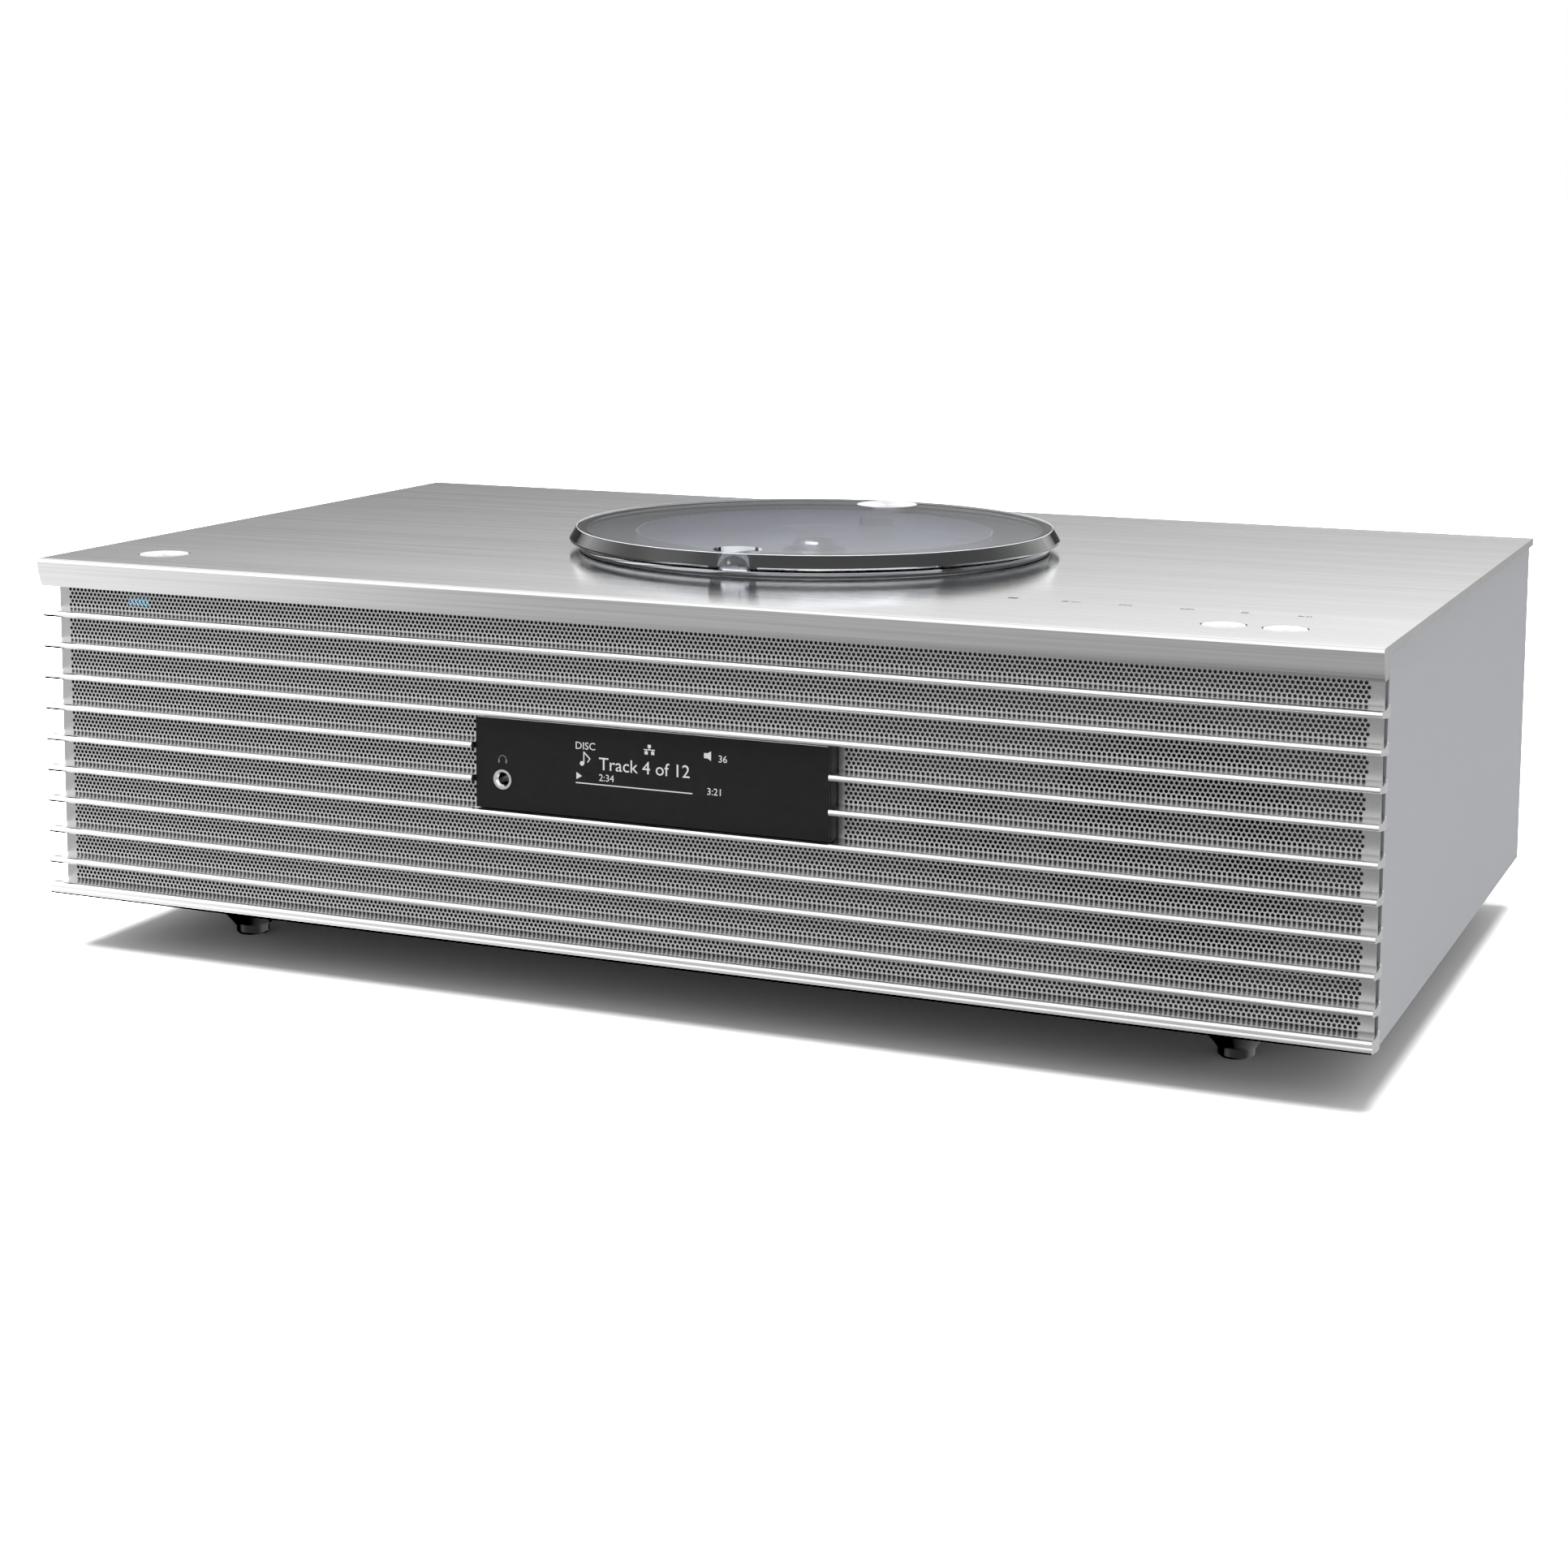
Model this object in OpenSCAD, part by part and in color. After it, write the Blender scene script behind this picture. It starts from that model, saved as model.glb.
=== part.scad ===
// Compact all-in-one hifi system: top-loading disc player, amplifier and speakers in one low metal case.
// X runs to the right, Y to the rear, Z up. The origin is on the table, at the middle of the object's box.

/* [Case] */
// Width of the top plate
body_w = 450; // [446:1:456]
// Depth of the top plate
body_d = 270; // [266:1:274]
// Height of the top plate's upper face above the table
plate_top = 135; // [134:0.5:136]
// Thickness of the top plate
plate_t = 2.5; // [2.2:0.1:2.8]
// Height of the front lip, top to bottom
lip_h = 9.5; // [9:0.1:10]
// Thickness of the side panels
side_t = 1.5; // [1.2:0.1:1.8]
// Height of the bottom panel's underside above the table
foot_h = 18; // [17:0.5:18.5]

/* [Front] */
// Distance from one fin to the next
fin_pitch = 10.609; // [10.58:0.005:10.63]
// How far the fins stand out from the grille
fin_out = 8.4; // [8:0.1:8.8]
// Width of the display
display_w = 121; // [112:1:126]
// Height of the display
display_h = 29.6; // [28.6:0.2:29.8]

/* [Lid and disc well] */
// Radius of the lid at its widest
lid_r = 84.8; // [83.5:0.1:86]
// Thickness of the clear lid
lid_t = 7; // [6:0.5:7.5]
// Distance from the disc's centre to the lid's pivot
pivot_reach = 71; // [71:0.5:73]
// Radius of the disc well
well_r = 61; // [60.8:0.1:61.2]
// Depth of the disc well
well_depth = 7.8; // [7.4:0.2:8.2]

/* [Buttons] */
// Radius of the power button
power_r = 8.35; // [8:0.05:9]
// Radius of each volume button
volume_r = 6.5; // [6:0.05:7]
// How far a button travels
button_travel = 0.6; // [0.4:0.1:0.6]

/* [Speakers] */
// Radius of the woofers' frames
woofer_r = 43; // [40:1:44]
// Radius of the subwoofer's frame
subwoofer_r = 64; // [60:1:66]
// Inner radius of the bass port
port_r = 20; // [16:1:20]

/* [Disc mechanism] */
// How far the pickup travels
sled_travel = 32.5; // [28:0.5:32.5]

/* [Hidden] */
$fn = 96;

// Case
connector_out = 10;
front_y = -(body_d + connector_out) / 2;
rear_y = front_y + body_d;
plate_bottom = plate_top - plate_t;
lip_bottom = plate_top - lip_h;
side_x = body_w / 2 - 1;
side_front_y = front_y + 13.5;
side_rear_y = rear_y - 1.8;
side_top = plate_bottom - 0.7;
panel_t = 2;
panel_x = side_x - side_t - 0.2;
panel_rear_y = side_rear_y - 1.6;
floor_z = foot_h + panel_t;

// Front; the last fin is the taller bottom rail
fin_count = 10;
grille_y = front_y + 10.4;
grille_t = 0.8;
grille_x = body_w / 2 - 1.4;
grille_top = plate_bottom - 1.9;
grille_bottom = 20.6;
fin_x = body_w / 2 - 0.4;
fin_top_z = plate_top - 19.02;
fin_nose_r = 1.05;
fin_nose_y = grille_y - fin_out + fin_nose_r;
baffle_y = grille_y + grille_t + 0.1;
baffle_t = 5.6;
baffle_back = baffle_y + baffle_t;
display_z = 78.9;
display_y = front_y + 4.5;
glass_t = 1;
display_gap = 0.25;
jack_x = -50.8;
jack_z = 73.8;
jack_bore_r = 1.8;
jack_depth = 14;
led_x = -192.2;
led_z = 120.2;

// Buttons and touch keys
power_x = -193.3;
power_y = front_y + 28;
volume_x = [173.9, 191.9];
volume_y = front_y + 25;
button_gap = 0.25;
button_skirt = 1.2;
button_skirt_z = plate_bottom - 1.6;
stem_z = button_skirt_z - 2.3;
switch_top = stem_z - button_travel - 0.1;
touch_x = 102;
touch_y = front_y + 50;
touch_pitch = 18;
touch_count = 6;

// Lid and disc well
disc_x = 1;
disc_y = front_y + 136.5;
pivot_y = disc_y + pivot_reach;
lid_top = plate_top + 8;
lid_bottom = lid_top - lid_t;
ring_r = lid_r - 3.2;
post_r = 7.4;
cap_r = 11.2;
cap_t = 1.4;
grip_x = 2.5;
grip_y = -72;
grip_r = 8;
well_wall = 1;
well_floor = plate_top - well_depth;
well_floor_t = 1.5;
well_step = 0.6;
hub_r = 7.4;
collar_r = 11;
collar_z = well_floor + 1.4;
hub_top = collar_z + 3;
slot_w = 22;
slot_near = 14;

// Disc mechanism
chassis_z = plate_top - 29;
chassis_t = 2;
chassis_top = chassis_z + chassis_t;
sled_near = 24;
lens_r = 3;
slot_far = sled_near + sled_travel + lens_r + 0.5;
rack_module = 0.8;
pinion_teeth = 14;
wheel_module = 0.5;
wheel_teeth = 48;
motor_teeth = 12;
rod_r = 1.5;
rod_x = 19;
rod_z = chassis_top + 10;
rod_clear = 0.05;
bush_r = 3.4;
sled_half = 8;
rack_z = chassis_top + 4;
rack_t = 2.5;
rack_x = 26;
gear_y = -40;
pinion_r = rack_module * pinion_teeth / 2;
wheel_r = wheel_module * wheel_teeth / 2;
motor_r = wheel_module * motor_teeth / 2;
gear_x = rack_x + pinion_r;
wheel_z = chassis_top + 1.5;
wheel_t = 2;
motor_gear_y = gear_y - wheel_r - motor_r;
tooth_play = 0.16;
post_span = 47.4;

// Speakers
woofer_x = 165;
speaker_z = 70;
tweeter_x = 100;
tweeter_r = 20;
chamber_near = 77;
chamber_far = panel_x - 2;
chamber_rear = front_y + 74;
chamber_bottom = floor_z + 4;
chamber_top = plate_top - 18.5;
chamber_t = 2.5;
subwoofer_y = -12;
port_z = 48;
port_t = 2;
port_length = 68;

// Electronics and sockets
board_z = floor_z + 14;
board_t = 1.6;
board_top = board_z + board_t;
board_near = 72;
board_far = 208;
board_front = -60;
board_rear = panel_rear_y - panel_t - 2;
inlet_x = -160;
inlet_z = 46;
network_x = 92;
network_z = 43.5;
usb_x = 118;
optical_x = 140;
line_in_x = 160;
line_in_z = 43;
antenna_x = 186;
antenna_z = 45;
antenna_r = 4.75;
plate_low = [81, 33];
plate_high = [197, 57];

// Feet
foot_x = 175;
foot_front_y = front_y + 50;
foot_rear_y = rear_y - 50;

aluminium = "#d8d8d9";
satin = "#9fa1a5";
black = "#18181a";
board_green = "#1f5a3a";

// ---- Shared shapes ----

// Box given by its lowest and highest corners
module block(low, high) {
    translate(low)
        cube(high - low);
}

// Extrusion along X of a profile drawn in Y and Z
module along_x(low, high) {
    translate([low, 0, 0])
        rotate([90, 0, 90])
            linear_extrude(high - low)
                children();
}

// Cylinder along Y from y0 to y1
module rod_y(x, z, r, y0, y1) {
    translate([x, y0, z])
        rotate([-90, 0, 0])
            cylinder(r = r, h = y1 - y0);
}

// Solid of revolution about Y whose profile is drawn with its axis along Y
module turned_y(x, y, z) {
    translate([x, y, z])
        rotate([-90, 0, 0])
            rotate_extrude()
                children();
}

// Outline of a spur gear with straight-sided teeth, one of them on the X axis
module gear_outline(m, teeth) {
    pitch_r = m * teeth / 2;
    tip_r = pitch_r + 0.85 * m;
    root_r = pitch_r - 1.15 * m;
    half = PI * m / 4 - tooth_play / 2;
    tip_half = asin((half - 0.85 * m * tan(20)) / tip_r);
    root_half = asin((half + 1.15 * m * tan(20)) / root_r);
    polygon([
        for (tooth = [0 : teeth - 1])
            for (side = [[root_r, -root_half], [tip_r, -tip_half], [tip_r, tip_half], [root_r, root_half]])
                let (angle = tooth * 360 / teeth + side[1])
                    [side[0] * cos(angle), side[0] * sin(angle)]
    ]);
}

// ---- Case ----

// Plate, front lip with a rounded edge and a convex face, and the slope behind the lip
module plate_profile() {
    edge_r = 1.2;
    face_lean = 2.4;
    face = [for (t = [0 : 0.125 : 1])
        [front_y + face_lean * t * (0.35 + 0.65 * t), plate_top - edge_r - (lip_h - edge_r) * t]];
    polygon(concat(
        face,
        [
            [front_y + 7.4, lip_bottom],
            [front_y + 11.2, plate_bottom],
            [rear_y, plate_bottom],
            [rear_y, plate_top],
            [front_y + edge_r, plate_top]
        ]
    ));
    translate([front_y + edge_r, plate_top - edge_r])
        circle(edge_r);
}

module top_plate() {
    cut = plate_t + 2;
    color(aluminium)
        difference() {
            along_x(-body_w / 2, body_w / 2)
                plate_profile();
            translate([disc_x, disc_y, plate_bottom - 1])
                cylinder(r = well_r + well_wall + 0.05, h = cut);
            translate([disc_x, pivot_y, plate_bottom - 1])
                cylinder(r = post_r + 0.05, h = cut);
            translate([power_x, power_y, plate_bottom - 1])
                cylinder(r = power_r + button_gap, h = cut);
            for (x = volume_x)
                translate([x, volume_y, plate_bottom - 1])
                    cylinder(r = volume_r + button_gap, h = cut);
        }
}

// Sheet with a turned-in rear edge; side is -1 on the left and 1 on the right
module side_panel(side) {
    flange = 12;
    low_x = side > 0 ? side_x - side_t : -side_x;
    flange_x = side > 0 ? side_x - flange : -side_x;
    color(satin) {
        block([low_x, side_front_y, foot_h + 0.5], [low_x + side_t, side_rear_y, side_top]);
        block([flange_x, side_rear_y - side_t, foot_h + 0.5], [flange_x + flange, side_rear_y, side_top]);
    }
}

module left_side_panel() {
    side_panel(-1);
}

module right_side_panel() {
    side_panel(1);
}

// Base sheet with sound slots under the subwoofer and posts for both boards
module bottom_panel() {
    slot_pitch = 10;
    slot_half = 2.5;
    slot_r = subwoofer_r - 12;
    color(black) {
        difference() {
            block([-panel_x, baffle_y + 1, foot_h], [panel_x, panel_rear_y, floor_z]);
            for (x = [-40 : slot_pitch : 40])
                let (reach = sqrt(slot_r * slot_r - x * x))
                    block(
                        [x - slot_half, subwoofer_y - reach, foot_h - 1],
                        [x + slot_half, subwoofer_y + reach, floor_z + 1]
                    );
        }
        for (side = [-1, 1], x = [board_near + 6, board_far - 6], y = [board_front + 6, board_rear - 6])
            translate([side * x, y, floor_z])
                cylinder(r = 3.5, h = board_z - floor_z);
    }
}

// Pressed sheet with an opening for each socket and the bass port
module rear_panel() {
    y0 = panel_rear_y - panel_t;
    y1 = panel_rear_y;
    color(black)
        difference() {
            block([-panel_x, y0, floor_z + 0.1], [panel_x, y1, side_top - 0.1]);
            rod_y(0, port_z, port_r + port_t + 0.2, y0 - 1, y1 + 1);
            block([inlet_x - 13.2, y0 - 1, inlet_z - 10.2], [inlet_x + 13.2, y1 + 1, inlet_z + 10.2]);
            block([plate_low[0], y0 - 1, plate_low[1]], [plate_high[0], y1 + 1, plate_high[1]]);
        }
}

// Insert in the rear panel with one opening for each small socket and a lip behind the panel
module socket_plate() {
    y0 = panel_rear_y - panel_t;
    y1 = panel_rear_y;
    gap = 0.1;
    lip = 3;
    lip_t = 1;
    color(black)
        difference() {
            union() {
                block(
                    [plate_low[0] + gap, y0 - 0.1, plate_low[1] + gap],
                    [plate_high[0] - gap, y1, plate_high[1] - gap]
                );
                block(
                    [plate_low[0] - lip, y0 - lip_t - 0.05, plate_low[1] - lip],
                    [plate_high[0] + lip, y0 - 0.05, plate_high[1] + lip]
                );
            }
            block([network_x - 8.2, y0 - 2, board_top], [network_x + 8.2, y1 + 1, board_top + 14.2]);
            block([usb_x - 7.2, y0 - 2, board_top], [usb_x + 7.2, y1 + 1, board_top + 7.2]);
            block([optical_x - 5.2, y0 - 2, board_top], [optical_x + 5.2, y1 + 1, board_top + 10.2]);
            block([line_in_x - 6.2, y0 - 2, board_top], [line_in_x + 6.2, y0 - 0.05, board_top + 13.2]);
            rod_y(line_in_x, line_in_z, 4.2, y0 - 1, y1 + 1);
            rod_y(antenna_x, antenna_z, 6.2, y0 - 2, y1 + 1);
        }
}

// Moulded board behind the grille, open for the drivers, the display and the indicator
module front_baffle() {
    y0 = baffle_y - 1;
    y1 = baffle_back + 1;
    color(black)
        difference() {
            block([-panel_x, baffle_y, floor_z + 0.2], [panel_x, baffle_back, side_top - 0.4]);
            for (side = [-1, 1]) {
                rod_y(side * woofer_x, speaker_z, woofer_r - 4, y0, y1);
                rod_y(side * tweeter_x, speaker_z, tweeter_r - 5, y0, y1);
            }
            block([-56, y0, display_z - 12.8], [56, y1, display_z + 12.8]);
            block([led_x - 5.2, y0, led_z - 2.7], [led_x + 5.2, y1, led_z + 2.7]);
        }
}

// ---- Front ----

// Sheet with returned side edges and a cut-out for the display
module front_grille() {
    half_w = display_w / 2 + display_gap;
    half_h = display_h / 2 + display_gap;
    return_y = grille_y + 2.6;
    color(satin)
        difference() {
            union() {
                block([-grille_x, grille_y, grille_bottom], [grille_x, grille_y + grille_t, grille_top]);
                block([-grille_x, grille_y, grille_bottom], [-grille_x + 0.8, return_y, grille_top]);
                block([grille_x - 0.8, grille_y, grille_bottom], [grille_x, return_y, grille_top]);
            }
            block([-half_w, grille_y - 1, display_z - half_h], [half_w, grille_y + 2, display_z + half_h]);
        }
}

// Wedge with a rounded nose and a coved top; rise lifts the top face of the bottom rail
module fin_profile(z, root_y, rise) {
    blade_end = grille_y - 0.02;
    sag = 0.55;
    nose_z = z + 0.2;
    nose_top = nose_z + rise + fin_nose_r;
    root_top = nose_top + 0.25;
    under = z - 2;
    lower_nose = [for (a = [-82 : 16.4 : 0])
        [fin_nose_y - fin_nose_r * cos(a), nose_z + fin_nose_r * sin(a)]];
    upper_nose = [for (a = [0 : 15 : 90])
        [fin_nose_y - fin_nose_r * cos(a), nose_z + rise + fin_nose_r * sin(a)]];
    cove = [for (t = [0.2 : 0.2 : 1])
        [
            fin_nose_y + (blade_end - fin_nose_y) * t,
            nose_top + (root_top - nose_top) * t - sag * 4 * t * (1 - t)
        ]];
    tab = root_y > blade_end ? [[root_y, root_top], [root_y, under]] : [];
    difference() {
        polygon(concat(lower_nose, rise > 0 ? upper_nose : [for (i = [1 : 6]) upper_nose[i]],
            cove, tab, [[blade_end, under]]));
        if (rise > 0)
            translate([fin_nose_y - 2, z + 0.55])
                square([2.2, 0.7]);
    }
}

// One fin: the blade in front of the grille and the two end tabs that meet the side panels
module fin(index) {
    z = fin_top_z - index * fin_pitch;
    rise = index == fin_count - 1 ? 1.9 : 0;
    tab_x = grille_x + 0.1;
    half_w = display_w / 2 + display_gap;
    half_h = display_h / 2 + display_gap;
    color(aluminium)
        difference() {
            union() {
                along_x(-fin_x, fin_x)
                    fin_profile(z, grille_y - 0.02, rise);
                for (x = [-fin_x, tab_x])
                    along_x(x, x + fin_x - tab_x)
                        fin_profile(z, side_front_y - 0.1, rise);
            }
            if (index > 1 && index < 6)
                block([-half_w, front_y, display_z - half_h], [half_w, grille_y + 1, display_z + half_h]);
        }
}

// Block behind the glass, with a neck that passes through the baffle
module display_housing() {
    neck_rear = baffle_back + 6;
    color(black)
        difference() {
            union() {
                block(
                    [-display_w / 2, display_y + glass_t, display_z - display_h / 2],
                    [display_w / 2, baffle_y - 0.05, display_z + display_h / 2]
                );
                block([-55.5, baffle_y - 0.1, display_z - 12.3], [55.5, neck_rear, display_z + 12.3]);
            }
            rod_y(jack_x, jack_z, 3.3, display_y, neck_rear + 1);
        }
}

module display_glass() {
    color(black)
        difference() {
            block(
                [-display_w / 2 + 0.2, display_y, display_z - display_h / 2 + 0.2],
                [display_w / 2 - 0.2, display_y + glass_t, display_z + display_h / 2 - 0.2]
            );
            rod_y(jack_x, jack_z, 3.3, display_y - 1, display_y + 2);
        }
}

// Sleeve with a chamfered mouth, in the glass, and the contact block behind it
module headphone_jack() {
    sleeve_y = display_y - 0.3;
    block_y = baffle_back + 6.2;
    color("#b9b9bc")
        difference() {
            union() {
                rod_y(jack_x, jack_z, 3.2, sleeve_y, block_y + 1);
                block([jack_x - 5, block_y, jack_z - 5], [jack_x + 5, block_y + 9, jack_z + 5]);
            }
            rod_y(jack_x, jack_z, jack_bore_r, sleeve_y - 1, sleeve_y + 0.8 + jack_depth);
            turned_y(jack_x, sleeve_y, jack_z)
                polygon([[0, -0.1], [2.5, -0.1], [2.4, 0], [jack_bore_r, 0.8], [0, 0.8]]);
        }
}

// Light guide close behind the grille, with its lamp and small board
module status_led() {
    color("#4db4e6") {
        block([led_x - 4.6, baffle_y, led_z - 2.1], [led_x + 4.6, baffle_back + 1, led_z + 2.1]);
        block([led_x - 8, baffle_back + 1, led_z - 2.8], [led_x + 8, baffle_back + 2.6, led_z + 2.8]);
    }
}

// ---- Buttons ----

// Cap with a dished face and a rounded edge, a skirt under the plate and a stem to the switch
module push_button(x, y, r) {
    color("#c4c4c6")
        translate([x, y, 0])
            rotate_extrude()
                polygon([
                    [0, stem_z],
                    [1.6, stem_z],
                    [1.6, button_skirt_z],
                    [r + button_skirt, button_skirt_z],
                    [r + button_skirt, plate_bottom - 0.1],
                    [r, plate_bottom - 0.1],
                    [r, plate_top - 0.3],
                    [r - 0.3, plate_top],
                    [r - 0.7, plate_top],
                    [r * 0.6, plate_top - 0.25],
                    [0, plate_top - 0.4]
                ]);
}

module power_button() {
    push_button(power_x, power_y, power_r);
}

module volume_down_button() {
    push_button(volume_x[0], volume_y, volume_r);
}

module volume_up_button() {
    push_button(volume_x[1], volume_y, volume_r);
}

// Board with one dome switch under each button
module switch_board(centres, y) {
    half_w = 8;
    low_x = centres[0] - half_w;
    high_x = centres[len(centres) - 1] + half_w;
    switch_h = 2.3;
    board_bottom = switch_top - switch_h - board_t;
    color(board_green) {
        block([low_x, y - half_w + 1, board_bottom], [high_x, y + half_w, board_bottom + board_t]);
        for (x = centres) {
            block([x - 3, y - 3, board_bottom + board_t], [x + 3, y + 3, switch_top - 0.8]);
            translate([x, y, switch_top - 0.8])
                cylinder(r = 1.7, h = 0.8);
        }
    }
}

module volume_switch_board() {
    switch_board(volume_x, volume_y);
}

module power_switch_board() {
    switch_board([power_x], power_y);
}

// Flexible board with one round sensor pad under each touch symbol
module touch_sensor_board() {
    last_x = touch_x + touch_pitch * (touch_count - 1);
    color("#c9a25a") {
        block([touch_x - 8, touch_y - 7, plate_bottom - 1], [last_x + 8, touch_y + 7, plate_bottom - 0.4]);
        for (i = [0 : touch_count - 1])
            translate([touch_x + i * touch_pitch, touch_y, plate_bottom - 0.4])
                cylinder(r = 6, h = 0.35);
    }
}

// ---- Lid and disc well ----

// Clear disc with a sloped rim over an undercut edge, a finger hole and the pivot's stepped bore
module lid() {
    top_r = lid_r - 2.5;
    color([0.35, 0.38, 0.42, 0.5])
        difference() {
            translate([disc_x, disc_y, 0])
                rotate_extrude($fn = 180)
                    polygon([
                        [0, lid_bottom],
                        [ring_r, lid_bottom],
                        [ring_r, lid_top - 5.8],
                        [ring_r + 0.6, lid_top - 5.3],
                        [lid_r, lid_top - 4.5],
                        [lid_r, lid_top - 4],
                        [top_r + 0.15, lid_top - 0.2],
                        [top_r - 0.1, lid_top],
                        [0, lid_top]
                    ]);
            translate([disc_x + grip_x, disc_y + grip_y, lid_bottom + 0.8])
                cylinder(r = grip_r, h = lid_t);
            translate([disc_x, pivot_y, lid_bottom - 1])
                cylinder(r = post_r + rod_clear, h = lid_t + 2);
            translate([disc_x, pivot_y, lid_top - cap_t - 0.1])
                cylinder(r = cap_r + 0.05, h = lid_t);
        }
}

module lid_base_ring() {
    color(black)
        translate([disc_x, disc_y, plate_top + 0.3])
            difference() {
                cylinder(r = ring_r - 0.1, h = lid_bottom - plate_top - 0.3, $fn = 180);
                translate([0, 0, -1])
                    cylinder(r = ring_r - 2.6, h = 5, $fn = 180);
            }
}

module lid_pivot_cap() {
    color(aluminium)
        translate([disc_x, pivot_y, 0])
            rotate_extrude()
                polygon([
                    [0, lid_top - cap_t],
                    [cap_r, lid_top - cap_t],
                    [cap_r, lid_top - 0.3],
                    [cap_r - 0.3, lid_top],
                    [cap_r - 0.8, lid_top],
                    [cap_r - 1.2, lid_top - 0.15],
                    [0, lid_top - 0.15]
                ]);
}

// Turned post, held under the plate by a flange that is cut back beside the well
module lid_pivot_post() {
    color("#b4b4b6")
        difference() {
            translate([disc_x, pivot_y, 0])
                rotate_extrude()
                    polygon([
                        [0, plate_bottom - 6],
                        [12, plate_bottom - 6],
                        [12, plate_bottom - 0.05],
                        [post_r, plate_bottom - 0.05],
                        [post_r, lid_top - cap_t - 0.7],
                        [post_r - 0.4, lid_top - cap_t - 0.3],
                        [0, lid_top - cap_t - 0.3]
                    ]);
            translate([disc_x, disc_y, plate_bottom - 12])
                cylinder(r = well_r + well_wall + 0.3, h = 12);
        }
}

// Stepped cup with a flange under the plate, the pickup's slot, and four posts for the mechanism
module disc_well() {
    outer_r = well_r + well_wall;
    flange_z = plate_bottom - 2;
    color("#c9c8cf")
        difference() {
            translate([disc_x, disc_y, 0]) {
                rotate_extrude($fn = 180)
                    polygon([
                        [collar_r + 0.5, well_floor - well_floor_t],
                        [outer_r, well_floor - well_floor_t],
                        [outer_r, flange_z],
                        [outer_r + 9, flange_z],
                        [outer_r + 9, plate_bottom - 0.1],
                        [outer_r, plate_bottom - 0.1],
                        [outer_r, plate_top - 0.2],
                        [outer_r - 0.2, plate_top],
                        [well_r, plate_top],
                        [well_r, well_floor + 2.2],
                        [well_r - well_step, well_floor + 1.9],
                        [well_r - well_step, well_floor],
                        [collar_r + 0.5, well_floor]
                    ]);
                for (sx = [-1, 1], sy = [-1, 1])
                    translate([sx * post_span, sy * post_span, chassis_top + 0.6])
                        cylinder(r = 3, h = flange_z - chassis_top - 0.5);
            }
            translate([disc_x, pivot_y, plate_bottom - 3])
                cylinder(r = 12.3, h = plate_t + 0.5);
            block(
                [disc_x - slot_w / 2, disc_y - slot_far, well_floor - 3],
                [disc_x + slot_w / 2, disc_y - slot_near, well_floor + 0.5]
            );
        }
}

// Shaft, turntable collar and centring boss, turned as one piece
module spindle_hub() {
    color("#a9a9ae")
        translate([disc_x, disc_y, 0])
            rotate_extrude()
                polygon([
                    [0, chassis_top + 1],
                    [1.25, chassis_top + 1],
                    [1.25, collar_z - 3],
                    [collar_r, collar_z - 3],
                    [collar_r, collar_z - 0.2],
                    [collar_r - 0.2, collar_z],
                    [hub_r, collar_z],
                    [hub_r, hub_top - 0.8],
                    [hub_r - 0.8, hub_top],
                    [0, hub_top]
                ]);
}

// ---- Disc mechanism ----

module spindle_motor() {
    color("#8d8f93")
        translate([disc_x, disc_y, chassis_top])
            difference() {
                union() {
                    cylinder(r = 12, h = 9);
                    cylinder(r = 5, h = 13);
                }
                translate([0, 0, 0.8])
                    cylinder(r = 1.25 + rod_clear, h = 14);
            }
}

// Plate with damper holes, two rod brackets at each end, the wheel's pin and the drive motor's hole
module mechanism_chassis() {
    color("#77797d")
        translate([disc_x, disc_y, 0])
            difference() {
                union() {
                    block([-55, -74, chassis_z], [55, 55, chassis_top]);
                    for (x = [-rod_x, rod_x], y = [-71, -11])
                        block([x - 3, y, chassis_top - 0.1], [x + 3, y + 4, rod_z + 3]);
                    translate([gear_x, gear_y, chassis_top - 0.1])
                        cylinder(r = 1.5, h = rack_z + rack_t + 1.1 - chassis_top);
                }
                for (x = [-rod_x, rod_x])
                    rod_y(x, rod_z, rod_r + 0.02, -72, 0);
                for (sx = [-1, 1], sy = [-1, 1])
                    translate([sx * post_span, sy * post_span, chassis_z - 1])
                        cylinder(r = 4.1, h = 4);
                translate([gear_x, motor_gear_y, chassis_z - 1])
                    cylinder(r = 3.1, h = 4);
            }
}

// Four flanged rubber bushes
module damper_bushes() {
    color(black)
        translate([disc_x, disc_y, 0])
            for (sx = [-1, 1], sy = [-1, 1])
                translate([sx * post_span, sy * post_span, 0])
                    rotate_extrude()
                        polygon([
                            [0, chassis_z - 1.5],
                            [5.5, chassis_z - 1.5],
                            [5.5, chassis_z - 0.05],
                            [4, chassis_z - 0.05],
                            [4, chassis_top + 0.05],
                            [5.5, chassis_top + 0.05],
                            [5.5, chassis_top + 0.55],
                            [0, chassis_top + 0.55]
                        ]);
}

module guide_rods() {
    color("#c8c8cc")
        for (x = [-rod_x, rod_x])
            rod_y(disc_x + x, rod_z, rod_r, disc_y - 70.5, disc_y - 7.5);
}

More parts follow.
